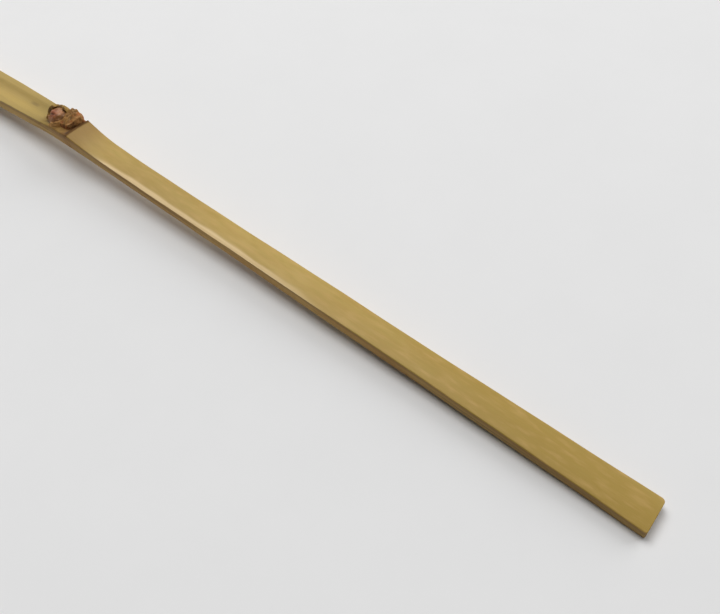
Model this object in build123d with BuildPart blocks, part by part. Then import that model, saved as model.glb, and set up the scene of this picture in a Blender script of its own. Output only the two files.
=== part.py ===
from build123d import *
from math import asin, atan2, cos, degrees, hypot, radians, sin
import os

# Bamboo tea scoop, lying on a table with its skin side up.
# +X runs along the strip to the cut end of the handle, +Y across the strip, +Z up.
# The origin is on the table, under the middle of the strip's length. Millimetres and degrees.

# Lengths along the face of the strip
handle_length = 112.0  # from the cut end to the lip of the node
upper_length = 52.0  # from the lip to the start of the scoop's bend
bend_radius = 22.0
bend_angle = 60.0
tip_length = 3.0  # straight run after the bend
node_angle = 5.2  # turn of the strip at the node, which arches it off the table

# Outline
cut_end_width = 5.6
cut_corner_radius = 0.7
waist_width = 4.6
waist_run = 56.0  # length of the handle that keeps the waist width, from the node
scoop_width = 8.6
spread_end = 10.3  # from the tip to where the strip has the scoop's width
shoulder_radius = 60.0
tip_round = 6.5  # length of the rounded end of the scoop

# Thicknesses
cut_end_thickness = 2.2
handle_thickness = 2.6  # at the middle of the handle
upper_thickness = 2.4  # from the node to the bend
tip_thickness = 0.9
rind_thickness = 0.35

# Bevelled edges and resting flats
face_bevel = 0.3
back_bevel = 0.35
heel_ease = 0.17  # depth of the flat under the cut end
belly_ease = 0.14  # depth of the flat under the bend

# Node: the handle's skin flares up to a lip, and a lower ring follows it
culm_radius = 18.0  # round of the culm that the strip was split from
flare_length = 8.0
lip_height = 0.95
scar_step = 0.4  # from the lip down to the ring
ridge_height = 0.6
ridge_offset = 3.2  # from the lip to the crest of the ring
ring_depth = 0.8  # below the face of the strip
ring_margin = 0.2  # ring left in front of the bud
web_thickness = 1.4

# Groove along the upper face, and the dish of the scoop
groove_radius = 4.0
groove_depth = 0.4
groove_turn = 25.0  # how far the groove runs into the bend
dish_depth = 0.7
dish_width = 6.8
dish_flank = 10.0  # how far the round of the dish cutter runs on past the rims

# Bud cluster on the ring: a broken side shoot, and a bud between two scales in front of it
stub_gap = 0.15  # from the lip to the stub
stub_margin = 0.6  # strip left beside the stub
stub_height = 1.95
stub_taper = 0.3  # how far the stub narrows to its broken top
stub_hollow = 0.1  # how far its flank bends in
stub_mouth_radius = 0.75
stub_mouth_depth = 0.5
bud_lead = 2.9  # from the axis of the stub to the thickest place of the bud
bud_margin = 0.25  # strip left beside the scales
nose_lead = 1.55  # from the thickest place of the bud to the round of its nose
nose_radius = 0.8
bud_rise = 0.35  # axis of the bud above the face
bud_seat = 0.45  # foot of the cluster below the face
scale_thickness = 0.3
scale_parting = 0.5  # between the two scales
scale_height = 1.15  # top of the scales above the face

overrun = 2.0  # how far blanks and cutters run past their ends

# Side view of the scoop, in the upper strip's own frame: origin at the lip, +v out of the face
bend_turn = radians(bend_angle)
tip_u = -upper_length - bend_radius * sin(bend_turn) - tip_length * cos(bend_turn)
tip_v = bend_radius * (1 - cos(bend_turn)) + tip_length * sin(bend_turn)
back_u = tip_u - tip_thickness * sin(bend_turn)
back_v = tip_v - tip_thickness * cos(bend_turn)

# The back of the scoop is one arc, from the upper strip's underside to the back of the tip
belly_run = -upper_length - back_u
belly_rise = back_v + upper_thickness
belly_radius = (belly_run**2 + belly_rise**2) / (2 * belly_rise)
belly_center = (-upper_length, belly_radius - upper_thickness)
belly_turn = degrees(atan2(belly_run, belly_radius - belly_rise) + overrun / belly_radius)

# The strip rests on its heel and on its belly, which gives the slope of the handle on the table
node_turn = radians(node_angle)
belly_u = belly_center[0] * cos(node_turn) - belly_center[1] * sin(node_turn) - handle_length
belly_v = belly_center[0] * sin(node_turn) + belly_center[1] * cos(node_turn) + cut_end_thickness
belly_drop = belly_radius - belly_ease + heel_ease
handle_slope = asin(belly_drop / hypot(belly_u, belly_v)) - atan2(belly_v, -belly_u)
upper_slope = node_turn - handle_slope
tip_slope = bend_turn - upper_slope

# The lip's place on the table puts the whole strip over the origin
back_reach = -back_u * cos(upper_slope) + back_v * sin(upper_slope)
handle_reach = handle_length * cos(handle_slope)
lip_x = (back_reach - handle_reach) / 2
lip_z = handle_length * sin(handle_slope) + cut_end_thickness * cos(handle_slope) - heel_ease
lip_point = Vector(lip_x, 0, lip_z)
cut_end_x = lip_x + handle_reach
clear_height = lip_z + tip_v + bend_radius
clear_length = upper_length + clear_height

# Places along the node, from the lip towards the scoop
bud_radius = waist_width / 2 - bud_margin - scale_thickness
stub_radius = waist_width / 2 - stub_margin
stub_offset = stub_gap + stub_radius
bud_offset = stub_offset + bud_lead
nose_offset = bud_offset + nose_lead
ring_length = nose_offset + nose_radius + scale_thickness + ring_margin

# Frames of the two straight runs (u along the strip, v out of its face) and of the tip
handle_side = Plane(lip_point, x_dir=(cos(handle_slope), 0, -sin(handle_slope)), z_dir=(0, -1, 0))
upper_side = Plane(lip_point, x_dir=(cos(upper_slope), 0, sin(upper_slope)), z_dir=(0, -1, 0))
tip_face = Plane(
    upper_side.from_local_coords((tip_u, tip_v)),
    x_dir=(cos(tip_slope), 0, -sin(tip_slope)),
    z_dir=(sin(tip_slope), 0, cos(tip_slope)),
)
culm_axis = Axis(handle_side.from_local_coords((0, -culm_radius)), handle_side.x_dir)
bend_axis = Axis(upper_side.from_local_coords((-upper_length, bend_radius)), (0, 1, 0))
bud_axis = Axis(upper_side.from_local_coords((0, bud_rise)), upper_side.x_dir)
stub_axis = Axis(upper_side.from_local_coords((-stub_offset, 0)), upper_side.y_dir)

# Planes where one piece ends and the next begins
lip_plane = Plane(lip_point, x_dir=(0, 1, 0), z_dir=-handle_side.x_dir)
web_plane = lip_plane.offset(web_thickness)
ring_plane = Plane(
    upper_side.from_local_coords((-ring_length, 0)), x_dir=(0, 1, 0), z_dir=-upper_side.x_dir
)
seat_plane = Plane(
    upper_side.from_local_coords((0, -bud_seat)), x_dir=upper_side.x_dir, z_dir=upper_side.y_dir
)


def strip_rims(part, facing):
    """Edges where the faces that look up (+1) or down (-1) meet the sides of the strip."""
    flat_limit, wall_limit, wall_lean = 0.4, 0.5, 0.1
    flats = part.faces().filter_by(lambda f: f.normal_at().Z * facing > flat_limit)
    walls = part.faces().filter_by(lambda f: abs(f.normal_at().Y) > wall_limit)
    walls = walls.filter_by(lambda f: abs(f.normal_at().Z) < wall_lean)
    wall_edges = walls.edges()
    return ShapeList(e for e in flats.edges() if any(e.is_same(w) for w in wall_edges))


# Handle: a body of revolution about the culm's axis, cut to the outline and the underside
def culm_profile(depth):
    """Half profile of the culm below the node, its skin taken off to a depth."""
    flare_radius = (flare_length**2 + lip_height**2) / (2 * lip_height)
    flare_turn = degrees(asin(flare_length / flare_radius))
    end = handle_length + overrun
    with BuildSketch(handle_side) as profile:
        with BuildLine():
            flare = CenterArc((flare_length, flare_radius), flare_radius + depth, 270, -flare_turn)
            lip_u = (flare @ 1).X
            Polyline(
                flare @ 0, (end, -depth), (end, -culm_radius), (lip_u, -culm_radius), flare @ 1
            )
        make_face()
    return profile.sketch


culm = culm_profile(0)
culm_core = culm_profile(rind_thickness)

with BuildPart() as handle_blank:
    revolve(culm, axis=culm_axis)
    with BuildSketch() as handle_outline:
        with BuildLine():
            waist = Line((lip_x - overrun, waist_width / 2), (lip_x + waist_run, waist_width / 2))
            spread = TangentArc(waist @ 1, (cut_end_x, cut_end_width / 2), tangent=(1, 0))
            Line(spread @ 1, (cut_end_x, 0))
            Line(waist @ 0, (lip_x - overrun, 0))
            mirror(about=Plane.XZ)
        make_face()
        fillet(handle_outline.vertices().group_by(Axis.X)[-1], cut_corner_radius)
    extrude(amount=clear_height, mode=Mode.INTERSECT)
    with BuildSketch(handle_side):
        with BuildLine():
            under = ThreePointArc(
                (0, -upper_thickness),
                (handle_length / 2, -handle_thickness),
                (handle_length, -cut_end_thickness),
            )
            Polyline(
                under @ 1,
                (handle_length + overrun, -cut_end_thickness),
                (handle_length + overrun, clear_height),
                (-overrun, clear_height),
                (-overrun, -upper_thickness),
                under @ 0,
            )
        make_face()
    extrude(amount=cut_end_width, both=True, mode=Mode.INTERSECT)
    chamfer(strip_rims(handle_blank, 1), face_bevel)
    chamfer(strip_rims(handle_blank, -1), back_bevel)

with BuildPart() as handle_flesh:
    add(handle_blank.part)
    revolve(culm_core, axis=culm_axis, mode=Mode.INTERSECT)

with BuildPart() as handle_rind:
    add(handle_blank.part)
    add(handle_flesh.part, mode=Mode.SUBTRACT)


# Upper strip: its side view, cut to the outline, grooved along its face and dished at the scoop
def upper_profile(depth):
    """Side view of the upper strip, its skin taken off to a depth."""
    with BuildSketch(upper_side) as profile:
        with BuildLine():
            run = Line((overrun, -depth), (-upper_length, -depth))
            bend = JernArc(run @ 1, run % 1, bend_radius + depth, -bend_angle)
            tip = Line(bend @ 1, (bend @ 1) + (bend % 1) * (tip_length + overrun))
            belly = CenterArc(belly_center, belly_radius, 270, -belly_turn)
            Line(belly @ 1, tip @ 1)
            Polyline(belly @ 0, (overrun, -upper_thickness), run @ 0)
        make_face()
    return profile.sketch


def upper_outline():
    """Outline of the upper strip, seen square on the end of the scoop."""
    lip_p = tip_face.to_local_coords(lip_point).X
    narrowing = (scoop_width - waist_width) / 2 / (lip_p - spread_end)
    with BuildSketch(tip_face) as outline:
        with BuildLine():
            Polyline(
                (lip_p + overrun, 0),
                (lip_p + overrun, waist_width / 2 - narrowing * overrun),
                (spread_end, scoop_width / 2),
                (tip_round, scoop_width / 2),
            )
            EllipticalCenterArc((tip_round, 0), tip_round, scoop_width / 2, 90, arc_size=90)
            mirror(about=Plane.XZ)
        make_face()
        fillet(outline.vertices().group_by(Axis.X)[-2], shoulder_radius)
    return outline.sketch


def groove_cutter(depth):
    """Round bar along the upper face that cuts its groove, thicker by a depth."""
    lift = groove_radius - groove_depth
    with BuildPart() as cutter:
        with BuildLine(upper_side):
            run = Line((-bud_offset, lift), (-upper_length, lift))
            JernArc(run @ 1, run % 1, bend_radius - lift, -groove_turn)
        with BuildSketch(Plane(run @ 0, z_dir=run % 0)):
            Circle(groove_radius + depth)
        sweep()
    return cutter.part


def dish_cutter(depth):
    """Barrel about the bend's axis that hollows the scoop, thicker by a depth."""
    rim = dish_width / 2
    barrel_radius = (rim**2 + dish_depth**2) / (2 * dish_depth)
    barrel_turn = degrees(asin(rim / barrel_radius)) + dish_flank
    center = (0, barrel_radius - bend_radius - dish_depth)
    with BuildPart() as cutter:
        with BuildSketch(Plane(bend_axis.position, x_dir=(0, 1, 0), z_dir=(1, 0, 0))):
            with BuildLine():
                bulge = CenterArc(center, barrel_radius + depth, 270 - barrel_turn, 2 * barrel_turn)
                Line(bulge @ 1, bulge @ 0)
            make_face()
        revolve(axis=bend_axis)
    return cutter.part


face_view = upper_profile(0)
core_view = upper_profile(rind_thickness)
outline = upper_outline()
groove = groove_cutter(0)
groove_core = groove_cutter(rind_thickness)
dish = dish_cutter(0)
dish_core = dish_cutter(rind_thickness)

with BuildPart() as upper_blank:
    extrude(face_view, amount=scoop_width, both=True)
    extrude(outline, amount=clear_length, both=True, mode=Mode.INTERSECT)
    split(bisect_by=lip_plane, keep=Keep.TOP)
    chamfer(strip_rims(upper_blank, 1), face_bevel)
    chamfer(strip_rims(upper_blank, -1), back_bevel)
    split(bisect_by=Plane.XY, keep=Keep.TOP)
    add(groove, mode=Mode.SUBTRACT)
    add(dish, mode=Mode.SUBTRACT)

with BuildPart() as upper_core:
    add(upper_blank.part)
    extrude(core_view, amount=scoop_width, both=True, mode=Mode.INTERSECT)
    add(groove_core, mode=Mode.SUBTRACT)
    add(dish_core, mode=Mode.SUBTRACT)

with BuildPart() as upper_rind:
    add(upper_blank.part)
    add(upper_core.part, mode=Mode.SUBTRACT)
    split(bisect_by=ring_plane, keep=Keep.TOP)


# Bud cluster, with its foot let into the ring
def bud_profile(skin):
    """Half profile of the bud, thicker by a skin: a round heel that tapers to a small round nose."""
    taper = degrees(asin((bud_radius - nose_radius) / nose_lead))
    with BuildSketch(upper_side) as profile:
        with BuildLine():
            heel = CenterArc((-bud_offset, bud_rise), bud_radius + skin, 0, 90 + taper)
            nose = CenterArc((-nose_offset, bud_rise), nose_radius + skin, 90 + taper, 90 - taper)
            Line(heel @ 1, nose @ 0)
            Line(nose @ 1, heel @ 0)
        make_face()
    return profile.sketch


bud_view = bud_profile(0)
socket_view = bud_profile(scale_thickness)

with BuildPart() as branch_stub:
    with BuildSketch(upper_side):
        with BuildLine():
            foot = Line((-stub_offset, -bud_seat), (stub_radius - stub_offset, -bud_seat))
            flank = SagittaArc(foot @ 1, (foot @ 1) + (-stub_taper, bud_seat + stub_height), stub_hollow)
            rim = Line(flank @ 1, (stub_mouth_radius - stub_offset, stub_height))
            floor = (-stub_offset, stub_height - stub_mouth_depth)
            mouth = TangentArc(floor, rim @ 1, tangent=(1, 0))
            Line(mouth @ 0, foot @ 0)
        make_face()
    revolve(axis=stub_axis)

with BuildPart() as bud_blank:
    revolve(bud_view, axis=bud_axis)
    split(bisect_by=seat_plane, keep=Keep.TOP)

with BuildPart() as bud_socket:
    revolve(socket_view, axis=bud_axis)
    split(bisect_by=seat_plane, keep=Keep.TOP)

with BuildPart() as dormant_bud:
    add(bud_blank.part)
    add(branch_stub.part, mode=Mode.SUBTRACT)

with BuildPart() as scale_blank:
    add(bud_socket.part)
    split(bisect_by=seat_plane.offset(bud_seat + scale_height), keep=Keep.BOTTOM)
    add(bud_blank.part, mode=Mode.SUBTRACT)
    add(branch_stub.part, mode=Mode.SUBTRACT)

with BuildPart() as bud_scale_near:
    add(scale_blank.part)
    split(bisect_by=Plane.XZ.offset(scale_parting / 2), keep=Keep.TOP)

with BuildPart() as bud_scale_far:
    add(scale_blank.part)
    split(bisect_by=Plane.XZ.offset(-scale_parting / 2), keep=Keep.BOTTOM)

# Node: the ring that holds the bud cluster, and the slice of the culm's cross wall under it
with BuildPart() as ring_blank:
    with BuildSketch(upper_side):
        with BuildLine():
            crest = Spline(
                (overrun, lip_height - scar_step),
                (-ridge_offset, ridge_height),
                (-ring_length, 0),
                tangents=((-1, 0), (-1, 0)),
            )
            Polyline(crest @ 1, (-ring_length, -ring_depth), (overrun, -ring_depth), crest @ 0)
        make_face()
    extrude(amount=scoop_width, both=True)
    extrude(outline, amount=clear_length, both=True, mode=Mode.INTERSECT)
    split(bisect_by=lip_plane, keep=Keep.TOP)
    add(groove, mode=Mode.SUBTRACT)

with BuildPart() as node_ring:
    add(ring_blank.part)
    add(bud_socket.part, mode=Mode.SUBTRACT)
    add(branch_stub.part, mode=Mode.SUBTRACT)

with BuildPart() as node_web:
    add(upper_blank.part)
    split(bisect_by=web_plane, keep=Keep.BOTTOM)
    add(ring_blank.part, mode=Mode.SUBTRACT)

with BuildPart() as upper_flesh:
    add(upper_blank.part)
    add(upper_rind.part, mode=Mode.SUBTRACT)
    add(ring_blank.part, mode=Mode.SUBTRACT)
    split(bisect_by=web_plane, keep=Keep.TOP)

pieces = {
    "handle_rind": handle_rind,
    "handle_flesh": handle_flesh,
    "node_ring": node_ring,
    "node_web": node_web,
    "upper_rind": upper_rind,
    "upper_flesh": upper_flesh,
    "branch_stub": branch_stub,
    "dormant_bud": dormant_bud,
    "bud_scale_near": bud_scale_near,
    "bud_scale_far": bud_scale_far,
}
os.makedirs("parts", exist_ok=True)
for name, piece in pieces.items():
    piece.part.label = name
    export_step(piece.part, f"parts/{name}.step")
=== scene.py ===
import math
import bmesh
import bpy
import numpy as np
from mathutils import Matrix, Vector, noise


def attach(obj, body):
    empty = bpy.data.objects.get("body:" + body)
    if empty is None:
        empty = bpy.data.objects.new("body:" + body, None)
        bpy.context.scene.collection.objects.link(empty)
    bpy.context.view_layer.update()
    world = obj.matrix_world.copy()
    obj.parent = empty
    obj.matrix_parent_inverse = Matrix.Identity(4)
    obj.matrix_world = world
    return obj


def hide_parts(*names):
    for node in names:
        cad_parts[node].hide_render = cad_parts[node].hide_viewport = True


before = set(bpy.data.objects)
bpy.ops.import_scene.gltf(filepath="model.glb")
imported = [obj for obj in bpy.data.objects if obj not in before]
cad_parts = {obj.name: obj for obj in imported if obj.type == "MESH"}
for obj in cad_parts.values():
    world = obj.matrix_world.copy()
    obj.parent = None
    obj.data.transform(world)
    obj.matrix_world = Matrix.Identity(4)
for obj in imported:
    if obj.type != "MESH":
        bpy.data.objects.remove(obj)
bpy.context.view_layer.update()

# Sizes are in millimetres, angles in degrees. Meshes are written in metres. If nothing else is said,
# a pair of values is a run along the strip: where a change sets in and where it is complete.
mm = 0.001

# Strip, with the lengths and widths of the solids
handle_length = 112.0
upper_length = 52.0
bend_radius = 22.0
bend_angle = 60.0
tip_length = 3.0
cut_end_width = 5.6
near_corner_radius = 0.3
far_corner_radius = 0.6
waist_width = 4.6
waist_run = 56.0
scoop_width = 8.6
spread_end = 10.3  # where the scoop is full width, back from its end
spread_blend = 0.4
tip_round = 6.5  # how far the round of the end reaches back
cut_end_thickness = 2.2
handle_thickness = 2.6
upper_thickness = 2.4
tip_thickness = 0.9
rind_thickness = 0.35
least_thickness = 0.06  # of rind and flesh where the knife cuts deep
culm_radius = 18.0

# Node: flare, lip, ring and cross wall
flare_length = 8.0
lip_height = 0.95
lip_step = 0.3  # ring below the lip, on the near side
ring_step = 0.55  # ring above the face at the lip, over the rest of the width
ring_step_across = (-2.1, -0.3)  # where one passes into the other, across the strip
ring_crest = 0.6
crest_offset = 3.2
ring_length = 7.6
ring_depth = 0.8
ring_groove_start = 5.0  # where the groove shows on the ring
wrinkle_height = 0.04
wrinkle_length = 1.3
wrinkle_middle = 3.5
wrinkle_reach = 2.5
web_thickness = 1.4
lip_skew = 0.14  # how far the lip runs along the strip for each millimetre across it
lip_tilt = 0.09  # rise of the lip for each millimetre towards the far side
lip_spread = 0.3  # how far the lip stands out on the near side
spread_depth = 2.2  # how far down the side it does so
lip_reach = 5.0  # how far skew and spread reach along the strip
end_skew = 0.06  # as the lip's, for the saw cut at the other end
end_skew_run = (handle_length - 8, handle_length)
node_lift = 0.35  # how far the culm steps up at the node
lift_run = (-8.0, 4.0)
node_shift = 0.28  # how far it steps to the far side there
shift_run = (-16.0, 4.0)
settle_run = (20.0, upper_length)  # where both steps fade out towards the scoop
knee_run = (1.5, -1.5)  # where the slope passes from the upper half to the handle
under_swell = 0.6  # how far the underside swells at the cross wall
swell_reach = 5.5

# Groove and dish of the scoop
groove_depth = 0.4
groove_half_width = 1.74
groove_start = 4.75
groove_rise = 7.0  # from its start to its full depth
groove_turn = 25.0  # of the bend, where it ends
groove_fall = (-6.0, 5.0)  # about that end
dish_depth = 0.7
dish_half_width = 3.4
hollow_blend = 0.12

# Knife work on the edges
rim_radius = 0.14
ring_rim_radius = 0.25
lip_rim_radius = 0.08
end_rim_radius = 0.12
end_back_radius = 0.25
back_radius = 0.3
back_loss = 0.75  # share of the back's round that is lost towards the tip
back_loss_run = (55.0, 76.0)
back_inset = 0.18  # how far the sides lean in under the strip
inset_depth = (0.3, 1.05)  # where they do so, as shares of a layer's depth
carved_in = 0.16  # of each side of the handle, below the node
carved_middle = 29.0
carved_reach = 20.0
shaved_width = 0.95  # near edge of the upper handle, shaved to a slant
shaved_drop = 0.2
shaved_bow = 1.25  # 1 would be a flat slant
shave_start = (3.0, 18.0)
shave_end = (42.0, 66.0)
bare_cut = 0.08  # depth at which the slant is bare of skin
bare_end = (42.0, 64.0)

# Where the unevenness of the knife fades out, at the cross wall and towards the scoop
web_even = (0.0, 4.0)
edge_even = (40.0, 60.0)
face_even = (45.0, 60.0)
back_even = (60.0, 76.0)

# Bud cluster: each lump's middle and its reach along, across and out of the face
bud_middle = (4.6, -0.1, 0.15)
far_scale_middle = (4.75, 0.15, 0.15)
bud_reach = (2.25, 1.85, 2.2)
bud_nose = 1.12  # reach of the nose, as a share of the bud's
bud_taper = 0.2  # how much slimmer the bud is at its nose
scale_thickness = 0.55
stub_middle = (1.85, 0.4, 0.0)
stub_reach = (1.8, 1.8, 2.85)
stub_mouth = 0.4  # depth of the hollow where the shoot broke off
cluster_seat = 0.45  # how far the lumps sink into the ring
seat_press = 0.25  # what is left of a lump's depth below its seat

# Room, in metres, with tones from 0 to 1
table_half = 3.0
table_fade = (0.16, 0.5)  # distances at which the table fades into the backdrop
backdrop_tone = 0.78
room_light = 0.08

# The photograph's view
eye = (99.29, -58.22, 107.67)
eye_turns = (132.93, -51.83, 3.94)  # yaw, pitch and roll
picture_width = 720  # pixels
focal_length = 900  # in the same pixels

# Fineness of the meshes
columns = 49
upper_rind_rows = 260
upper_flesh_rows = 290
tip_rows = 42
ring_rows = 60
web_rows = 12
wall_rows = 6
rind_wall_rows = 3
ball_level = 6
scale_turns = 120
scale_levels = 30
step_gap = 0.005  # half the run in which the flesh steps up behind the ring

bend_turn = math.radians(bend_angle)
bend_length = bend_radius * bend_turn
tip_reach = upper_length + bend_length + tip_length
round_turn = math.asin((tip_round - tip_length) / bend_radius)
round_start = tip_reach - tip_length - bend_radius * round_turn


def smooth(low, high, value):
    """Smooth step from 0 at low to 1 at high."""
    t = np.clip((np.asarray(value, float) - low) / (high - low), 0, 1)
    return t * t * (3 - 2 * t)


def bump(center, width, value):
    """Smooth hump of height 1 about a center."""
    return np.exp(-(((np.asarray(value, float) - center) / width) ** 2))


def waver(value, seed, *waves):
    """Sum of sine waves, given as (length, height), that keeps a carved line from running true."""
    total = np.zeros_like(np.asarray(value, float))
    for k, (length, height) in enumerate(waves):
        total += height * np.sin(2 * math.pi * value / length + seed * (k + 1.7))
    return total


def soft_max(first, second, blend):
    """The greater of two values, with the change from one to the other rounded off."""
    part = np.clip(0.5 + 0.5 * (first - second) / blend, 0, 1)
    return second * (1 - part) + first * part + blend * part * (1 - part)


# Where the strip lies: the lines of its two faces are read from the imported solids
def middle_height(node, x, above):
    """Height of a solid over the strip's middle line, met from above or from below."""
    start = Vector((x * mm, 0, 1 if above else -1))
    _, spot, _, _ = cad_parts[node].ray_cast(start, Vector((0, 0, -start.z)))
    return spot.z / mm


def face_line(node, x, run, above):
    """Slope of a solid's face over a run along the strip, and its height at x."""
    low, high = middle_height(node, x, above), middle_height(node, x + run, above)
    return math.atan2(high - low, run), low


handle_mark, upper_mark, mark_run = 20.0, -60.0, 30.0  # along X
handle_rise, handle_mark_height = face_line("handle_rind", handle_mark, mark_run, True)
upper_slope, upper_mark_height = face_line("upper_flesh", upper_mark, mark_run, False)
upper_mark_height += upper_thickness / math.cos(upper_slope)
handle_slope = -handle_rise
lip_x = (
    handle_mark_height + handle_mark * math.tan(handle_slope)
    - upper_mark_height + upper_mark * math.tan(upper_slope)
) / (math.tan(handle_slope) + math.tan(upper_slope))
lip_z = upper_mark_height + (lip_x - upper_mark) * math.tan(upper_slope)


def path(s):
    """Middle of the face (x and z) and lean of its normal, s millimetres above the lip."""
    s = np.asarray(s, float)
    handle_run = np.minimum(s, 0)
    upper_run = np.clip(s, 0, upper_length)
    turn = np.clip((s - upper_length) / bend_radius, 0, bend_turn)
    tip_run = np.maximum(s - upper_length - bend_length, 0)
    lean = turn - upper_slope + (handle_slope + upper_slope) * smooth(*knee_run, s)
    x = lip_x - handle_run * math.cos(handle_slope) - upper_run * math.cos(upper_slope)
    z = lip_z + handle_run * math.sin(handle_slope) - upper_run * math.sin(upper_slope)
    x = x + bend_radius * (-math.sin(upper_slope) - np.sin(turn - upper_slope))
    z = z + bend_radius * (math.cos(upper_slope) - np.cos(turn - upper_slope))
    return x - tip_run * np.cos(lean), z + tip_run * np.sin(lean), lean


def place(s, y, v):
    """Row frame points from strip coordinates: along, across and out of the face."""
    s, y, v = np.broadcast_arrays(s, y, v)
    settle = 1 - smooth(*settle_run, s)
    at_lip = bump(0, lip_reach, s)
    sawn = smooth(*end_skew_run, -s)
    v = v + node_lift * smooth(*lift_run, s) * settle
    shift = node_shift * smooth(*shift_run, s) * settle
    near_share = np.minimum(y, 0) / (waist_width / 2)
    shift = shift + lip_spread * at_lip * smooth(-spread_depth, 0, v) * near_share
    s = s - lip_skew * y * at_lip - end_skew * (cut_end_width / 2 - y) * sawn
    x, z, lean = path(s)
    points = np.stack([x + v * np.sin(lean), y + shift, z + v * np.cos(lean)], -1)
    points[..., 2] = np.maximum(points[..., 2], 0)
    return points * mm


# Outline and faces of the strip in strip coordinates
def handle_half_width(u, side):
    """Half width of the handle towards its near or far side, u millimetres below the lip."""
    spread = np.clip((u - waist_run) / (handle_length - waist_run), 0, 1) ** 2
    width = waist_width + (cut_end_width - waist_width) * spread
    radius = np.where(np.asarray(side) < 0, near_corner_radius, far_corner_radius)
    past = np.clip(u - handle_length + radius, 0, radius)
    corner = radius - np.sqrt(radius**2 - past**2)
    carved = carved_in * bump(carved_middle, carved_reach, u)
    return width / 2 - carved - corner + waver(u, 1.3, (31, 0.02), (12.5, 0.012))


def tip_distance(s):
    """Distance from the end of the scoop, seen square on its end."""
    back = tip_reach - np.asarray(s, float)
    turn = np.clip((back - tip_length) / bend_radius, 0, bend_turn)
    straight = np.maximum(back - tip_length - bend_length, 0)
    return np.minimum(back, tip_length) + bend_radius * np.sin(turn) + straight * math.cos(bend_turn)


def upper_half_width(s):
    """Half width of the upper strip before its end is rounded."""
    reach = tip_distance(0)
    spread = (reach - tip_distance(s)) / (reach - spread_end)
    taper = waist_width / 2 + (scoop_width - waist_width) / 2 * spread
    width = -soft_max(-taper, -scoop_width / 2, spread_blend)
    return width + waver(s, 2.1, (23, 0.025), (9, 0.01)) * (1 - smooth(*edge_even, s))


def crown(y):
    """Round of the culm across the face."""
    return -(y**2) / (2 * culm_radius)


def flare(u):
    """Rise of the handle's skin to the lip."""
    radius = (flare_length**2 + lip_height**2) / (2 * lip_height)
    return radius - np.sqrt(radius**2 - np.clip(flare_length - u, 0, flare_length) ** 2)


def hollow(s, y):
    """Depth of the groove and the dish below the upper face."""
    groove = groove_depth * np.clip(1 - (y / groove_half_width) ** 2, 0, 1) ** 1.5
    groove_end = upper_length + bend_radius * math.radians(groove_turn)
    risen = smooth(groove_start, groove_start + groove_rise, s)
    fallen = smooth(groove_end + groove_fall[0], groove_end + groove_fall[1], s)
    groove = groove * risen * (1 - fallen)
    outside = np.maximum(upper_length - s, 0) + np.maximum(s - upper_length - bend_length, 0)
    barrel = bend_radius + dish_depth * (1 - (y / dish_half_width) ** 2)
    dish = np.sqrt(np.maximum(barrel**2 - outside**2, 0)) - bend_radius
    return np.maximum(soft_max(groove, dish, hollow_blend), 0)


def round_cut(distance, radius):
    """How much a rounded edge takes off the face, at a distance from the edge."""
    reach = np.clip(1 - distance / radius, 0, 1)
    return radius * (1 - np.sqrt(1 - reach**2))


def slant_cut(distance, width, drop):
    """How much an edge that was shaved to a slant takes off the face."""
    reach = np.clip(1 - distance / width, 0, 1)
    return drop * reach**shaved_bow


# Grids over the strip: rows along it, columns across it and denser towards the rims
across = np.sin(np.linspace(-math.pi / 2, math.pi / 2, columns))[None, :]


def widen(rows):
    """The rows' distance from the lip, repeated for each column."""
    return np.repeat(rows[:, None], columns, 1)


def eased(low, high, count):
    """Values from low to high, denser towards high."""
    return low + (high - low) * np.sin(np.linspace(0, math.pi / 2, count))


def handle_grid():
    """Distance below the lip and place across the strip, from the cut end to the lip."""
    u = widen(np.concatenate([
        np.linspace(0, 0.5, 8),  # rim of the lip
        np.linspace(0.7, 10, 48),  # flare below it
        np.linspace(10.4, handle_length - 3, 250),  # plain run of the handle
        eased(handle_length - 2.6, handle_length, 26),  # corners and cut end
    ])[::-1])
    return u, across * handle_half_width(u, across)


def node_grid(length, count):
    """Distance above the lip and place across the strip, from the lip over a length."""
    s = widen(np.linspace(0, length, count))
    return s, across * upper_half_width(s)


def upper_grid(start, count):
    """Distance above the lip and place across the strip, from start to the rounded end."""
    rows = np.linspace(start, round_start, count)
    if start < ring_length:
        rows = np.sort(np.append(rows, [ring_length - step_gap, ring_length + step_gap]))
    s = widen(rows)
    y = across * upper_half_width(s)
    out = eased(0, 1, tip_rows)[1:, None]
    end_s = round_start + (tip_reach - round_start) * out * np.sqrt(1 - across**2 / 2)
    end_y = across * np.sqrt(1 - out**2 / 2) * upper_half_width(round_start)
    return np.concatenate([s, end_s]), np.concatenate([y, end_y])


def upper_rim_distance(s, y):
    """Distance from the outline of the upper strip, along its face."""
    tiny = 1e-6
    half = upper_half_width(np.minimum(s, round_start))
    reach = tip_reach - round_start
    forward = np.maximum(s - round_start, 0)
    ring = np.sqrt((forward / reach) ** 2 + (y / half) ** 2)
    slope = np.sqrt((forward / reach**2) ** 2 + (y / half**2) ** 2) / np.maximum(ring, tiny)
    oval = (1 - ring) / np.maximum(slope, tiny)
    return np.maximum(np.where(forward > 0, oval, half - np.abs(y)), 0)


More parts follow.
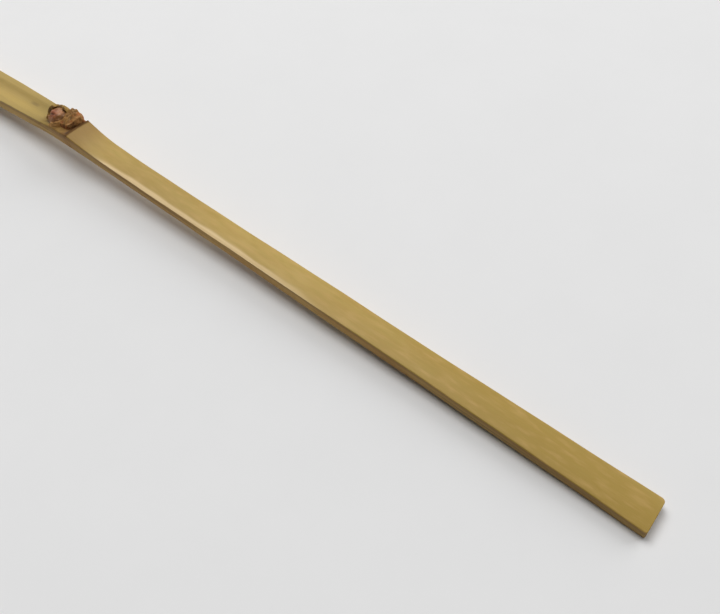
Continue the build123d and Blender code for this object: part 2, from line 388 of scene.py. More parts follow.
# Surfaces of the handle
def handle_skin(u, y):
    """Height of the handle's face, how much the knife took off it, and how bare it left the edge."""
    edge = handle_half_width(u, y) - np.abs(y)
    shave = smooth(*shave_start, u) * (1 - smooth(*shave_end, u))
    width = shaved_width * (1 + waver(u, 4.0, (17, 0.1), (6.3, 0.06)))
    slant = np.where(y < 0, slant_cut(edge, width, shaved_drop) * shave, 0)
    cut = np.maximum(round_cut(edge, rim_radius), slant)
    cut = cut + round_cut(handle_length - u, end_rim_radius) + round_cut(u, lip_rim_radius)
    tilt = 1 + lip_tilt * y / lip_height
    face = flare(u) * tilt + crown(y) + waver(u, 0.4, (43, 0.02), (15, 0.008))
    bare = smooth(0, bare_cut, slant) * (1 - smooth(*bare_end, u))
    return face, cut, bare


def handle_under(u, y):
    """Height of the handle's underside."""
    t = u / handle_length
    at_lip = upper_thickness * (1 - t) * (1 - 2 * t)
    halfway = handle_thickness * 4 * t * (1 - t)
    at_end = cut_end_thickness * t * (2 * t - 1)
    thickness = at_lip + halfway + at_end
    edge = handle_half_width(u, y) - np.abs(y)
    cut = round_cut(edge, back_radius) + round_cut(handle_length - u, end_back_radius)
    planed = waver(u + 6 * y, 3.0, (19, 0.02), (7.7, 0.012)) + waver(y, 0.9, (1.9, 0.015))
    swell = under_swell * bump(0, swell_reach, u)
    return -thickness - swell + cut + planed * smooth(*web_even, u)


# Surfaces of the upper strip
def upper_skin(s, y):
    """Height of the upper face, and how much the knife took off it."""
    cut = round_cut(upper_rim_distance(s, y), rim_radius)
    uneven = waver(s, 1.9, (37, 0.02), (13, 0.008)) * (1 - smooth(*face_even, s))
    return uneven - hollow(s, y), cut


# The scoop's back is an arc that leaves the flat underside where the bend begins and ends at the tip
belly_run = (
    bend_radius * math.sin(bend_turn) + tip_length * math.cos(bend_turn)
    + tip_thickness * math.sin(bend_turn)
)
belly_rise = (
    bend_radius * (1 - math.cos(bend_turn)) + tip_length * math.sin(bend_turn)
    - tip_thickness * math.cos(bend_turn) + upper_thickness
)
belly_radius = (belly_run**2 + belly_rise**2) / (2 * belly_rise)


def upper_under(s, y):
    """Height of the upper strip's underside: flat, then the arc of the scoop's back."""
    turn = np.clip((s - upper_length) / bend_radius, 0, bend_turn)
    run = np.maximum(s - upper_length - bend_length, 0)
    drop = bend_radius + upper_thickness - belly_radius  # of the arc's centre below the bend's
    reach = np.sqrt(belly_radius**2 - (drop * np.sin(turn) + run) ** 2)
    depth = reach + drop * np.cos(turn) - bend_radius
    edge = round_cut(upper_rim_distance(s, y), back_radius)
    edge = edge * (1 - back_loss * smooth(*back_loss_run, s))
    planed = waver(s - 5 * y, 2.2, (21, 0.02), (8.3, 0.012))
    planed = planed * smooth(*web_even, s) * (1 - smooth(*back_even, s))
    swell = under_swell * bump(0, swell_reach, s)
    return -depth - swell + edge + planed


def upper_core(s, y):
    """Border of rind and flesh: a rind's thickness below the face, and clear of both sides."""
    face, cut = upper_skin(s, y)
    core = np.minimum(face - rind_thickness, face - cut - least_thickness)
    return np.maximum(core, upper_under(s, y) + least_thickness)


def ring_top(s, y):
    """Height of the ring between the lip and the upper face."""
    near_step = lip_height - lip_step
    step = near_step + (ring_step - near_step) * smooth(*ring_step_across, y)
    rise = step + (ring_crest - step) * smooth(0, crest_offset, s)
    fall = 1 - smooth(crest_offset, ring_length, s)
    wave = np.sin(2 * math.pi * s / wrinkle_length + 1.5 * y)
    wrinkle = wrinkle_height * wave * bump(wrinkle_middle, wrinkle_reach, s)
    groove = hollow(s, y) * smooth(ring_groove_start, ring_length, s)
    return rise * fall - groove + crown(y) * fall + wrinkle


# Meshes
def add(name, data):
    """New object in the scene."""
    made = bpy.data.objects.new(name, data)
    bpy.context.scene.collection.objects.link(made)
    return made


def write_mesh(name, points, faces, grain, finish, sharp=40):
    """New object from points in metres. Every point keeps its strip coordinates as its grain.
    Edges stay sharp from the given angle on."""
    mesh = bpy.data.meshes.new(name)
    mesh.from_pydata(np.asarray(points).tolist(), [], [tuple(int(k) for k in f) for f in faces])
    along = mesh.attributes.new("grain", "FLOAT_VECTOR", "POINT")
    along.data.foreach_set("vector", np.asarray(grain, np.float32).ravel())
    shape = bmesh.new()
    shape.from_mesh(mesh)
    bmesh.ops.recalc_face_normals(shape, faces=shape.faces)
    if shape.calc_volume(signed=True) < 0:
        bmesh.ops.reverse_faces(shape, faces=shape.faces)
    shape.to_mesh(mesh)
    shape.free()
    mesh.shade_smooth()
    mesh.set_sharp_from_angle(angle=math.radians(sharp))
    mesh.materials.append(finish)
    return add(name, mesh)


def mark(piece, name, values):
    """Adds a number to every point of a piece for its finish to read."""
    layer = piece.data.attributes.new(name, "FLOAT", "POINT")
    layer.data.foreach_set("value", np.asarray(values, np.float32).ravel())


def net(rows, cols):
    """Faces of a grid of points, and the numbers of the points around its border."""
    index = np.arange(rows * cols).reshape(rows, cols)
    corners = index[:-1, :-1], index[:-1, 1:], index[1:, 1:], index[1:, :-1]
    border = np.concatenate([index[:, 0], index[-1, 1:], index[-2::-1, -1], index[0, -2:0:-1]])
    return np.stack(corners, -1).reshape(-1, 4), border


def band(first, second):
    """Faces between two loops of points."""
    return np.stack([first, np.roll(first, -1), np.roll(second, -1), second], -1)


def layer_shape(s, y, top, bottom, inset, walls):
    """Strip coordinates and faces of one layer of the strip, closed all round by rows of wall.
    The sides lean in by the inset towards the underside."""
    rows, cols = s.shape
    size = rows * cols
    quads, border = net(rows, cols)
    upper = np.stack([s, y, top], -1).reshape(-1, 3)
    lower = np.stack([s, y, bottom], -1).reshape(-1, 3)
    fall = lower[border] - upper[border]
    strip = np.concatenate([upper, lower] + [upper[border] + fall * k / walls for k in range(1, walls)])
    row = np.concatenate([np.arange(size), np.arange(size), np.tile(border, walls - 1)]) // cols
    half, high, low = np.abs(y).max(1)[row], top.max(1)[row], bottom.min(1)[row]
    depth = (high - strip[:, 2]) / (high - low)
    strip[:, 1] *= 1 - inset / half * smooth(*inset_depth, depth)
    count = len(border)
    loops = [2 * size + k * count + np.arange(count) for k in range(walls - 1)]
    loops = [border] + loops + [border + size]
    sides = [band(first, second) for first, second in zip(loops[:-1], loops[1:])]
    return strip, np.concatenate([quads, quads[:, ::-1] + size] + sides)


def strip_piece(name, s, y, top, bottom, finish, inset=0.0, walls=wall_rows):
    """A layer of the strip as an object, in its place on the table."""
    strip, faces = layer_shape(s, y, top, bottom, inset, walls)
    return write_mesh(name, place(*strip.T), faces, strip, finish)


def dress(piece, node):
    """The piece stands for a solid: it hangs from the root body, and the solid is hidden."""
    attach(piece, "root")
    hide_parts(node)


# Finishes
class Value:
    """A socket of a finish's nodes; arithmetic on it adds Math nodes."""

    def __init__(self, finish, socket):
        self.finish = finish
        self.socket = socket

    def math(self, operation, a, b):
        return self.finish.node("ShaderNodeMath", {"operation": operation}, {0: a, 1: b})

    def __add__(self, other):
        return self.math("ADD", self, other)

    def __radd__(self, other):
        return self.math("ADD", other, self)

    def __sub__(self, other):
        return self.math("SUBTRACT", self, other)

    def __rsub__(self, other):
        return self.math("SUBTRACT", other, self)

    def __mul__(self, other):
        return self.math("MULTIPLY", self, other)

    def __rmul__(self, other):
        return self.math("MULTIPLY", other, self)

    def __abs__(self):
        return self.math("ABSOLUTE", self, 0.0)


class Finish:
    """The nodes of a material, or of the room's light."""

    def __init__(self, owner, shader="Principled BSDF"):
        owner.use_nodes = True
        self.owner = owner
        self.tree = owner.node_tree
        self.surface = self.tree.nodes[shader]

    def node(self, kind, settings, inputs, output=0):
        """A node of any kind: its settings first, then the values or links of its sockets."""
        made = self.tree.nodes.new(kind)
        for name, setting in settings.items():
            setattr(made, name, setting)
        for key, value in inputs.items():
            self.feed(made.inputs[key], value)
        return Value(self, made.outputs[output])

    def feed(self, socket, value):
        """Links a value to a socket, or sets the socket to a number or colour."""
        if isinstance(value, Value):
            self.tree.links.new(value.socket, socket)
        elif socket.type == "RGBA" and len(value) == 3:
            socket.default_value = (*value, 1)
        else:
            socket.default_value = value

    def set(self, **sockets):
        """Feeds the surface's sockets; an underscore in a name stands for a space."""
        for name, value in sockets.items():
            self.feed(self.surface.inputs[name.replace("_", " ")], value)
        return self.owner

    def mark(self, name):
        """A number that the mesh keeps on its points."""
        return self.node("ShaderNodeAttribute", {"attribute_name": name}, {}, "Fac")

    def grain(self):
        """Strip coordinates of the surface: along, across and out of the face."""
        return self.node("ShaderNodeAttribute", {"attribute_name": "grain"}, {}, "Vector")

    def split(self, vector):
        """The three numbers of a vector."""
        first = self.node("ShaderNodeSeparateXYZ", {}, {0: vector})
        return [Value(self, socket) for socket in first.socket.node.outputs]

    def stretch(self, vector, x, y, z):
        """The vector with each axis scaled."""
        return self.node("ShaderNodeVectorMath", {"operation": "MULTIPLY"}, {0: vector, 1: (x, y, z)})

    def cloud(self, vector, scale=1.0, detail=3.0, rough=0.5):
        """Soft noise between 0 and 1."""
        inputs = {"Vector": vector, "Scale": scale, "Detail": detail, "Roughness": rough}
        return self.node("ShaderNodeTexNoise", {}, inputs, "Fac")

    def cells(self, vector):
        """Distance from scattered points."""
        return self.node("ShaderNodeTexVoronoi", {}, {"Vector": vector, "Scale": 1.0}, "Distance")

    def step(self, value, low, high, start=0.0, end=1.0):
        """Smooth step of a value between low and high."""
        inputs = {"Value": value, 1: low, 2: high, 3: start, 4: end}
        return self.node("ShaderNodeMapRange", {"interpolation_type": "SMOOTHSTEP"}, inputs)

    def spot(self, value, middle, reach, core):
        """1 within the core's distance of a middle, and 0 from the reach on."""
        return self.step(abs(value - middle), reach, core)

    def mix(self, part, first, second, blend="MIX"):
        """A colour between two, or two colours blended."""
        inputs = {0: part, 6: first, 7: second}
        return self.node("ShaderNodeMix", {"data_type": "RGBA", "blend_type": blend}, inputs, 2)

    def paint(self, colour, *coats):
        """The colour under coats of others, each given as its share and its colour."""
        for share, coat in coats:
            colour = self.mix(share, colour, coat)
        return colour

    def shade(self, colour, value):
        """The colour darkened or lightened by a number."""
        grey = self.node("ShaderNodeCombineColor", {}, {0: value, 1: value, 2: value})
        return self.mix(1.0, colour, grey, "MULTIPLY")

    def seen(self):
        """1 for what the camera and reflections see, 0 for what lights the scoop."""
        camera, glossy, through = (
            self.node("ShaderNodeLightPath", {}, {}, f"Is {kind} Ray")
            for kind in ("Camera", "Glossy", "Transmission")
        )
        return camera + glossy + through

    def relief(self, height, depth):
        """A surface normal from a height of about 0 to 1, which stands for a depth in millimetres."""
        inputs = {"Height": height, "Distance": depth * mm, "Strength": 1.0}
        return self.node("ShaderNodeBump", {}, inputs)


def linear(level):
    """Linear light from a screen value up to 255."""
    share = level / 255
    return share / 12.92 if share < 0.04045 else ((share + 0.055) / 1.055) ** 2.4


def tint(red, green, blue):
    """Linear colour from screen values up to 255."""
    return linear(red), linear(green), linear(blue)


def golden_skin():
    """Satin skin of the culm: honey and straw, with fine long fibres."""
    f = Finish(bpy.data.materials.new("golden_skin"))
    grain = f.grain()
    along, over, _ = f.split(grain)
    bare = f.mark("shaved")
    fibres = f.cloud(f.stretch(grain, 0.07, 7, 1), detail=4, rough=0.6)
    hairs = f.cloud(f.stretch(grain, 0.3, 26, 1), detail=2)
    patches = f.cloud(f.stretch(grain, 0.09, 0.6, 1), rough=0.55)
    mottle = f.cloud(f.stretch(grain, 0.28, 1.3, 1), detail=2)
    upper = f.step(along, 4, 9)
    handle = 1 - upper
    rim = f.step(along, -0.6, -0.3) * handle
    smudge = f.spot(along, 13.4, 1.6, 0.3) * f.spot(over, 0.5, 0.5, 0.1)
    honey, straw = tint(172, 141, 66), tint(181, 153, 80)
    colour = f.paint(
        f.mix(f.step(patches, 0.32, 0.7), honey, straw),
        (f.spot(along, -20, 16, 5) * 0.5, tint(158, 130, 62)),  # dull below the flare
        (f.step(along, -40, -100) * 0.85, tint(153, 124, 42)),  # darker towards the cut end
        (f.step(mottle, 0.42, 0.8) * 0.45, tint(192, 156, 92)),
        (f.step(mottle, 0.46, 0.3) * 0.4, tint(160, 134, 56)),
        (upper * 0.7, tint(170, 145, 80)),
        (upper * f.step(along, 17, 8) * 0.5, tint(142, 120, 60)),  # painted shade at the start of the groove
        (f.step(along, -11, 0) * handle * (0.3 + 0.5 * patches), tint(136, 102, 20)),  # flare
        (f.step(along, -5.5, -1.2) * handle * 0.45, tint(134, 94, 8)),
        # painted shadow line along the rim of the lip
        (rim * 0.85, tint(84, 50, 16)),
        (smudge * (0.2 + 0.5 * fibres), tint(112, 90, 46)),
    )
    colour = f.shade(colour, 0.87 + 0.18 * fibres + 0.1 * hairs)
    # the shaved edge shows paler bare flesh, lightened further as a painted highlight
    pale = f.mix(f.step(fibres + 0.3 * hairs, 0.45, 0.95), tint(242, 216, 166), tint(226, 193, 136))
    colour = f.paint(colour, (bare * 0.9, pale), (f.mark("cut_edge") * 0.75, tint(132, 90, 46)))
    return f.set(
        Base_Color=colour,
        Roughness=0.42 + 0.12 * fibres + 0.06 * bare + 0.3 * rim,
        Normal=f.relief(fibres * 0.6 + hairs * 0.4, 0.02),
        Specular_IOR_Level=0.3,
    )


def flesh_colour(f, node_share):
    """Colour of the culm wall, its fine fibres and its bundles: brown bundles in a paler ground,
    which turns brown too where the fibres cross in the node."""
    grain = f.grain()
    along, _, out = f.split(grain)
    drift = f.cloud(f.stretch(grain, 0.05, 0.4, 0.4), detail=2)
    fine = f.cloud(f.stretch(grain, 0.12, 9, 9), detail=4, rough=0.6)
    bundles = f.step(f.cells(f.stretch(grain, 0.012, 2.6, 3.6)), 0.42, 0.2)
    node = f.spot(along, 0.7, 5.0, 0.6) * node_share
    bundles = bundles * (0.35 + 0.5 * f.step(out, -2.2, -0.4)) * (1 - 0.7 * node)
    straw, tan = tint(192, 158, 94), tint(170, 128, 68)
    colour = f.paint(
        f.mix(f.step(drift, 0.35, 0.7), straw, tan),
        (node * (0.35 + 0.5 * drift), tint(146, 106, 62)),
        (bundles, tint(92, 58, 28)),
        (f.step(out, -1.2, -0.3) * 0.45, tint(136, 92, 44)),  # under the rind
    )
    # painted shade: the wall darkens towards the cut end
    end_shade = f.step(along, -50, -105, 1.0, 0.68)
    return f.shade(colour, (0.76 + 0.5 * fine) * end_shade), fine, bundles


def fibre_flesh():
    """Body of the culm wall, with its fibres running along the strip."""
    f = Finish(bpy.data.materials.new("fibre_flesh"))
    colour, fine, bundles = flesh_colour(f, 0.7)
    return f.set(
        Base_Color=colour,
        Roughness=0.62 + 0.14 * fine,
        Normal=f.relief(fine - 0.5 * bundles, 0.03),
        Specular_IOR_Level=0.22,
    )


def cross_wall():
    """Slice of the culm's cross wall, where the fibres turn and knot."""
    f = Finish(bpy.data.materials.new("cross_wall"))
    colour, _, _ = flesh_colour(f, 1.0)
    knots = f.cloud(f.stretch(f.grain(), 2.4, 1.6, 1.6), detail=4, rough=0.6)
    return f.set(
        Base_Color=f.shade(colour, 0.8 + 0.35 * knots),
        Roughness=0.62 + 0.14 * knots,
        Normal=f.relief(knots, 0.06),
        Specular_IOR_Level=0.22,
    )


def ring_skin():
    """Skin of the node ring: wrinkled across the grain and browner than the rind."""
    f = Finish(bpy.data.materials.new("ring_skin"))
    grain = f.grain()
    along, over, out = f.split(grain)
    wrinkles = f.cloud(f.stretch(grain, 2.6, 0.9, 1), rough=0.6)
    mottle = f.cloud(grain, 0.9, 4, 0.6)
    rind_side = f.step(along, 4.0, 7.4) * f.step(mottle + 0.1 * along, 0.8, 1.1)
    lip_foot_shadow = f.step(along, 0.6, 0.15) * f.step(over, -2.4, -1.7)
    gap_shade = f.spot(along, 6.3, 1.2, 0.4) * f.spot(over, -1.2, 0.8, 0.2)
    tan, brown = tint(158, 124, 60), tint(136, 100, 46)
    colour = f.paint(
        f.mix(f.step(mottle, 0.35, 0.65), tan, brown),
        (rind_side, tint(152, 129, 66)),
        # painted shade next to the lip
        (f.step(along, 1.7, 0.3) * 0.5, tint(106, 70, 40)),
        # painted shadow at the foot of the lip, on the near side
        (lip_foot_shadow, tint(62, 40, 20)),
        (gap_shade * 0.95, tint(44, 28, 12)),  # painted shade in the gap in front of the bud
    )
    colour = f.shade(colour, 0.78 + 0.4 * wrinkles)
    flesh, _, _ = flesh_colour(f, 1.0)
    return f.set(
        Base_Color=f.mix(f.step(out, 0.2, -0.4), colour, flesh),
        Roughness=0.5 + 0.2 * wrinkles,
        Normal=f.relief(wrinkles, 0.07),
        Specular_IOR_Level=0.22,
    )


def bud_skin():
    """Smooth tight skin of the bud: red brown with a painted highlight towards the stub, and fine ribs
    to its nose.
    """
    f = Finish(bpy.data.materials.new("bud_skin"))
    grain = f.grain()
    along, over, _ = f.split(grain)
    ribs = f.cloud(f.stretch(grain, 0.8, 4, 4), rough=0.55)
    mottle = f.cloud(grain, 0.8, rough=0.6)
    red = f.spot(along, 4.9, 1.8, 0.3) * f.spot(over, -0.7, 1.3, 0.3)
    painted_shine = f.spot(along, 4.0, 1.0, 0.2) * f.spot(over, 0.1, 0.8, 0.2)
    brown, tan = tint(112, 72, 28), tint(160, 110, 54)
    colour = f.paint(
        f.mix(f.step(mottle, 0.34, 0.62), brown, tan),
        (red * 0.75, tint(150, 70, 32)),
        # painted highlight towards the stub
        (painted_shine * 0.6, tint(206, 146, 104)),
        # painted shade in the creases and at the foot of the bud
        (f.mark("crease"), tint(58, 38, 20)),
    )
    return f.set(
        Base_Color=f.shade(colour, 0.62 + 0.5 * ribs),
        Roughness=0.26 + 0.22 * mottle,
        Normal=f.relief(ribs, 0.05),
        Specular_IOR_Level=0.3,
    )


def stub_bark():
    """Rough broken foot of the side shoot: brown, with red and pale torn fibres."""
    f = Finish(bpy.data.materials.new("stub_bark"))
    grain = f.grain()
    along, _, _ = f.split(grain)
    coarse = f.cloud(grain, 1.1, 4, 0.65)
    reddish = f.cloud(grain, 0.8, 2, 0.6)
    torn = f.cloud(f.stretch(grain, 2.4, 1.6, 1.0), rough=0.7)
    brown, tan = tint(118, 82, 40), tint(164, 120, 64)
    colour = f.paint(
        f.mix(f.step(coarse, 0.34, 0.64), brown, tan),
        (f.step(along, 1.5, 0.5) * 0.6, tint(178, 128, 76)),  # painted light: paler on the side towards the lip, which faces away from the lamps
        (f.step(reddish, 0.49, 0.63) * 0.75, tint(156, 84, 40)),
        (f.step(torn, 0.56, 0.7) * 0.7, tint(202, 164, 110)),
        # painted shade in the hollow, the low spots of the grit and at the foot
        (f.mark("crease") * 0.7, tint(84, 58, 32)),
    )
    return f.set(
        Base_Color=colour,
        Roughness=0.5 + 0.3 * coarse,
        Normal=f.relief(coarse, 0.14),
        Specular_IOR_Level=0.18,
    )


def dry_scale():
    """Dry scale of the bud: olive brown, tan on the near side and lightened there as a painted
    highlight, dark at the rim, with fine veins.
    """
    f = Finish(bpy.data.materials.new("dry_scale"))
    grain = f.grain()
    _, over, _ = f.split(grain)
    veins = f.cloud(f.stretch(grain, 5, 5, 0.8), rough=0.6)
    mottle = f.cloud(grain, 0.9, rough=0.6)
    olive, brown = tint(150, 118, 50), tint(122, 86, 36)
    colour = f.paint(
        f.mix(f.step(mottle, 0.35, 0.65), olive, brown),
        # tan on the near side, lightened there as a painted highlight
        (f.step(over, -0.4, -1.1) * 0.85, tint(204, 150, 86)),
        (f.mark("crease") * f.step(mottle, 0.4, 0.65) * 0.7, tint(74, 52, 26)),
    )
    return f.set(
        Base_Color=f.shade(colour, 0.72 + 0.5 * veins),
        Roughness=0.5 + 0.2 * mottle,
        Normal=f.relief(veins, 0.06),
        Specular_IOR_Level=0.2,
    )


def table_top():
    """Plain pale table, which fades into the backdrop away from the scoop."""
    f = Finish(bpy.data.materials.new("table_top"))
    spot = f.node("ShaderNodeTexCoord", {}, {}, "Object")
    soft = f.cloud(spot, 60, rough=0.6)
    f.set(Base_Color=f.mix(soft, tint(229, 229, 229), tint(233, 233, 233)), Roughness=0.85)
    distance = f.node("ShaderNodeVectorMath", {"operation": "LENGTH"}, {0: spot}, "Value")
    away = f.step(distance, *table_fade)
    glow = f.node("ShaderNodeEmission", {}, {"Color": (1, 1, 1), "Strength": backdrop_tone})
    lit = Value(f, f.surface.outputs[0])
    faded = f.node("ShaderNodeMixShader", {}, {0: away * f.seen(), 1: lit, 2: glow})
    f.feed(f.tree.nodes["Material Output"].inputs["Surface"], faded)
    return f.owner


# Pieces of the strip
def mark_rind(rind, bare):
    """Tells the skin's finish where the rind was shaved, and where its cut edge shows at the sides."""
    edge = len(rind.data.vertices) - 2 * bare.size
    mark(rind, "shaved", np.concatenate([bare.ravel(), bare.ravel(), np.zeros(edge)]))
    mark(rind, "cut_edge", np.concatenate([np.zeros(bare.size), np.ones(bare.size + edge)]))


def make_handle(skin, flesh):
    """Rind and flesh of the handle, from the cut end to the lip."""
    u, y = handle_grid()
    face, cut, bare = handle_skin(u, y)
    top = face - cut
    core = np.minimum(face - rind_thickness, top - least_thickness)
    rind = strip_piece("handle_rind_skin", -u, y, top, core, skin, walls=rind_wall_rows)
    mark_rind(rind, bare)
    fibre = strip_piece("handle_fibre", -u, y, core, handle_under(u, y), flesh, back_inset)
    dress(rind, "handle_rind")
    dress(fibre, "handle_flesh")


def make_upper(skin, flesh):
    """Rind of the upper strip from the ring to the scoop's end, and its flesh from the cross wall."""
    s, y = upper_grid(ring_length, upper_rind_rows)
    face, cut = upper_skin(s, y)
    core = upper_core(s, y)
    rind = strip_piece("upper_rind_skin", s, y, face - cut, core, skin, walls=rind_wall_rows)
    mark_rind(rind, np.zeros_like(s))
    s, y = upper_grid(web_thickness, upper_flesh_rows)
    core = np.where(s < ring_length, -ring_depth, upper_core(s, y))
    fibre = strip_piece("upper_fibre", s, y, core, upper_under(s, y), flesh, back_inset)
    dress(rind, "upper_rind")
    dress(fibre, "upper_flesh")


def make_node(skin, wall):
    """Ring of the node, and the slice of cross wall under it."""
    s, y = node_grid(ring_length, ring_rows)
    rim = rim_radius + (ring_rim_radius - rim_radius) * bump(ring_length / 2, 2, s)
    top = ring_top(s, y) - round_cut(upper_half_width(s) - np.abs(y), rim)
    ring = strip_piece("node_ring_skin", s, y, top, np.full_like(s, -ring_depth), skin)
    dress(ring, "node_ring")
    s, y = node_grid(web_thickness, web_rows)
    top = np.full_like(s, -ring_depth)
    web = strip_piece("cross_wall_slice", s, y, top, upper_under(s, y), wall, back_inset)
    dress(web, "node_web")


# Pieces of the bud cluster
def ball():
    """Directions and triangles of a fine ball."""
    shape = bmesh.new()
    bmesh.ops.create_icosphere(shape, subdivisions=ball_level, radius=1)
    points = np.array([v.co for v in shape.verts])
    faces = [[v.index for v in f.verts] for f in shape.faces]
    shape.free()
    return points, faces


def rough(points, size, seed, octaves=3):
    """Fractal unevenness at points in millimetres, about -1 to 1."""
    offset = Vector((seed, seed * 1.7, -seed))
    return np.array([noise.fractal(Vector(p) / size + offset, 0.9, 2.1, octaves) for p in points])


def seat(height, floor):
    """Heights with all that is below the floor pressed nearly flat against it."""
    return np.where(height > floor, height, floor + seat_press * (height - floor))


def make_bud(skin):
    """The bud: an uneven egg with three creases that run to its nose."""
    ways, faces = ball()
    ahead, side, up = ways.T
    nose = np.where(ahead > 0, bud_nose, 1)
    slim = 1 - bud_taper * np.clip(ahead, 0, 1) ** 2
    local = ways * np.array(bud_reach) * np.stack([nose, slim, slim], -1)
    turn = np.arctan2(side, up)
    fold = np.abs(np.sin(1.5 * turn + 0.7 + 0.6 * ahead))
    crease = bump(0, 0.14, fold) * smooth(-0.3, 0.4, ahead)
    lumps = 0.09 * rough(local, 1.5, 3.0) + 0.025 * rough(local, 0.5, 8.0)
    local *= (1 + lumps - 0.1 * crease)[:, None]
    strip = local + np.array(bud_middle)
    strip[:, 2] = seat(strip[:, 2], -cluster_seat)
    bud = write_mesh("bud_body", place(*strip.T), faces, strip, skin, sharp=80)
    # painted shade for the finish: dark in the creases and at the foot
    foot = 1 - smooth(0.3, 0.9, strip[:, 2])
    mark(bud, "crease", np.maximum(crease * 0.8, foot))
    dress(bud, "dormant_bud")


def make_stub(bark):
    """The stub: a blunt lump, higher and longer on the far side, with a hollow where it broke off."""
    ways, faces = ball()
    ahead, side, up = ways.T
    blunt = np.maximum((ahead**4 + side**4) ** 0.25, np.abs(up)) ** -0.75
    tall = stub_reach[2] * (0.73 + 0.31 * side - 0.02 * ahead)
    long = stub_reach[0] * np.where(ahead < 0, 0.95 + 0.25 * side, 1.05)
    height = np.where(up > 0, up * tall, up * cluster_seat)
    local = np.stack([ahead * long, side * stub_reach[1], height], -1) * blunt[:, None]
    grit = rough(local, 0.6, 7.0, 4)
    local *= (1 + 0.11 * rough(local, 1.3, 15.0, 2) + 0.04 * grit)[:, None]
    mouth = bump(0, 0.36, np.hypot(ahead - 0.3, side - 0.15)) * (up > 0)
    local[:, 2] -= stub_mouth * mouth
    strip = local + np.array(stub_middle)
    overhang = smooth(1.6, 2.3, np.abs(strip[:, 1]))  # beyond the strip's sides, the foot ends higher
    strip[:, 2] = seat(strip[:, 2], 0.5 * overhang - cluster_seat * (1 - overhang))
    stub = write_mesh("stub_body", place(*strip.T), faces, strip, bark, sharp=80)
    # painted shade for the finish: dark in the hollow, in the low spots of the grit and at the foot
    foot = 1 - smooth(0.2, 0.8, strip[:, 2])
    mark(stub, "crease", np.clip(0.5 * mouth + 0.8 * smooth(0.1, 0.5, -grit) + 0.25 * foot, 0, 1))
    dress(stub, "branch_stub")


def scale_height(share, top, back, seed):
    """Height of a scale's ragged rim, which stands higher at the back by a share of its top."""
    ragged = 0.1 * np.sin(9 * share + seed) + 0.04 * np.sin(23 * share + 2 * seed)
    full = smooth(0, 0.25, share) * (1 - smooth(0.85, 1, share))
    return top * (0.35 + 0.65 * full) * (1 + ragged) * (1 + back * bump(0.78, 0.22, share))


def make_scale(name, node, finish, middle, start, end, top, back, inner, seed):
    """A scale that hugs the bud between two angles from its nose, near side negative.
    Its inner side stands off the bud's round by the given distance."""
    share = np.linspace(0, 1, scale_turns)[:, None]
    level = np.linspace(0, 1, scale_levels)[None, :]
    turn = np.radians(start + (end - start) * share)
    out = -cluster_seat + (scale_height(share, top, back, seed) + cluster_seat) * level
    girth = np.sqrt(np.clip(1 - 0.75 * ((out - middle[2]) / bud_reach[2]) ** 2, 0.2, 1))
    nose = np.where(np.cos(turn) > 0, bud_nose, 1)
    veins = 0.05 * np.cos(11 * turn) * (1 - level**2)
    shells = []
    for thick in (inner, scale_thickness):
        stout = thick * (0.7 + 0.3 * np.cos(turn)) * (1 - 0.4 * level**2)
        swell = girth + (stout + veins + 0.1 * level**8) / bud_reach[1]
        along = middle[0] + np.cos(turn) * bud_reach[0] * nose * swell
        over = middle[1] + np.sin(turn) * bud_reach[1] * swell
        shells.append(np.stack([along, over, out], -1).reshape(-1, 3))
    strip = np.concatenate(shells)
    quads, border = net(scale_turns, scale_levels)
    faces = np.concatenate([quads, quads[:, ::-1] + out.size, band(border, border + out.size)])
    lumps = 0.1 * rough(strip, 1.5, 3.0 + seed) + 0.04 * rough(strip, 0.5, seed)
    strip += lumps[:, None] * (strip - np.array(middle)) / bud_reach[1]
    scale = write_mesh(name, place(*strip.T), faces, strip, finish, sharp=60)
    rim = np.repeat(smooth(0.8, 1, level), scale_turns, 0).ravel()
    mark(scale, "crease", np.concatenate([rim, rim]))
    dress(scale, node)


# Stage, light and camera
def make_table():
    """A wide table under the scoop."""
    corners = [(x * table_half, y * table_half, 0) for x, y in ((-1, -1), (1, -1), (1, 1), (-1, 1))]
    mesh = bpy.data.meshes.new("table")
    mesh.from_pydata(corners, [], [(0, 1, 2, 3)])
    mesh.materials.append(table_top())
    table = add("table", mesh)


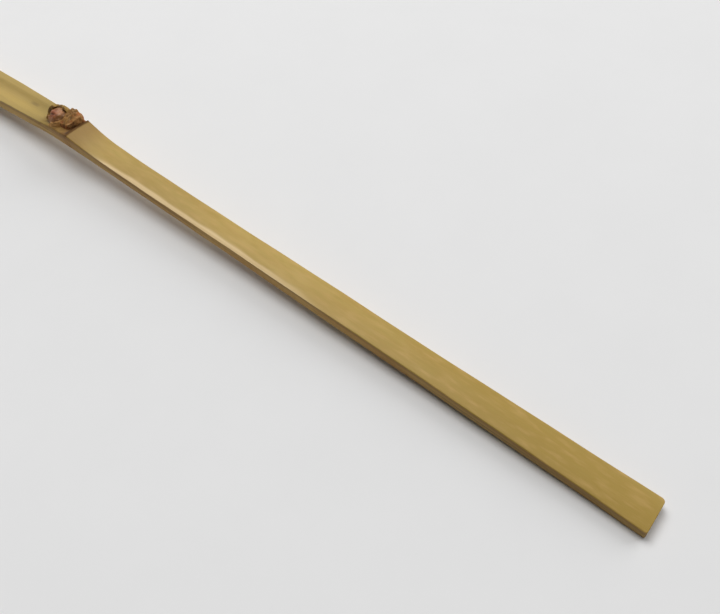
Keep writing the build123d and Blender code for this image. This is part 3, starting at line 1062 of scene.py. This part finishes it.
def soft_box(name, spot, size, level):
    """A square lamp at a spot in metres, turned to the origin, and about as strong as lights a white
    table there to the given level."""
    lamp = bpy.data.lights.new(name, "AREA")
    lamp.shape = "SQUARE"
    lamp.size = size
    way = Vector(spot)
    lamp.energy = level * math.pi**2 * way.length**3 / way.z
    box = add(name, lamp)
    box.location = way
    box.rotation_euler = way.to_track_quat("Z", "Y").to_euler()


def make_light():
    """A dim room with a pale backdrop, and two lamps."""
    room = Finish(bpy.data.worlds.new("room"), "Background")
    tone = room_light + (backdrop_tone - room_light) * room.seen()
    bpy.context.scene.world = room.set(Color=(1, 1, 1), Strength=tone)
    soft_box("left_lamp", spot=(-0.4, 0.2, 1.05), size=0.75, level=0.7)
    soft_box("far_window", spot=(0.62, 2.0, 1.1), size=2.0, level=0.31)


def make_camera():
    """The camera, in the photograph's place and turn and with its lens."""
    yaw, pitch, roll = (math.radians(angle) for angle in eye_turns)
    ahead = Vector((math.cos(pitch) * math.cos(yaw), math.cos(pitch) * math.sin(yaw), math.sin(pitch)))
    right = ahead.cross(Vector((0, 0, 1))).normalized()
    down = ahead.cross(right)
    right, down = (
        right * math.cos(roll) + down * math.sin(roll),
        down * math.cos(roll) - right * math.sin(roll),
    )
    lens = bpy.data.cameras.new("camera")
    lens.sensor_width = 36
    lens.lens = lens.sensor_width * focal_length / picture_width
    lens.clip_start = mm
    camera = add("camera", lens)
    turn = Matrix((right, -down, -ahead)).transposed()
    camera.matrix_world = Matrix.Translation(Vector(eye) * mm) @ turn.to_4x4()
    bpy.context.scene.camera = camera


skin_finish = golden_skin()
flesh_finish = fibre_flesh()
ring_finish = ring_skin()
wall_finish = cross_wall()
bud_finish = bud_skin()
stub_finish = stub_bark()
scale_finish = dry_scale()

make_handle(skin_finish, flesh_finish)
make_upper(skin_finish, flesh_finish)
make_node(ring_finish, wall_finish)
make_bud(bud_finish)
make_stub(stub_finish)
make_scale(
    "near_scale", "bud_scale_near", scale_finish, bud_middle,
    start=-80, end=-176, top=1.3, back=0, inner=0.04, seed=2.0,
)
make_scale(
    "far_scale", "bud_scale_far", scale_finish, far_scale_middle,
    start=-34, end=172, top=1.9, back=0.45, inner=-0.45, seed=5.0,
)
make_table()
make_light()
make_camera()
bpy.context.scene.view_settings.view_transform = "Standard"
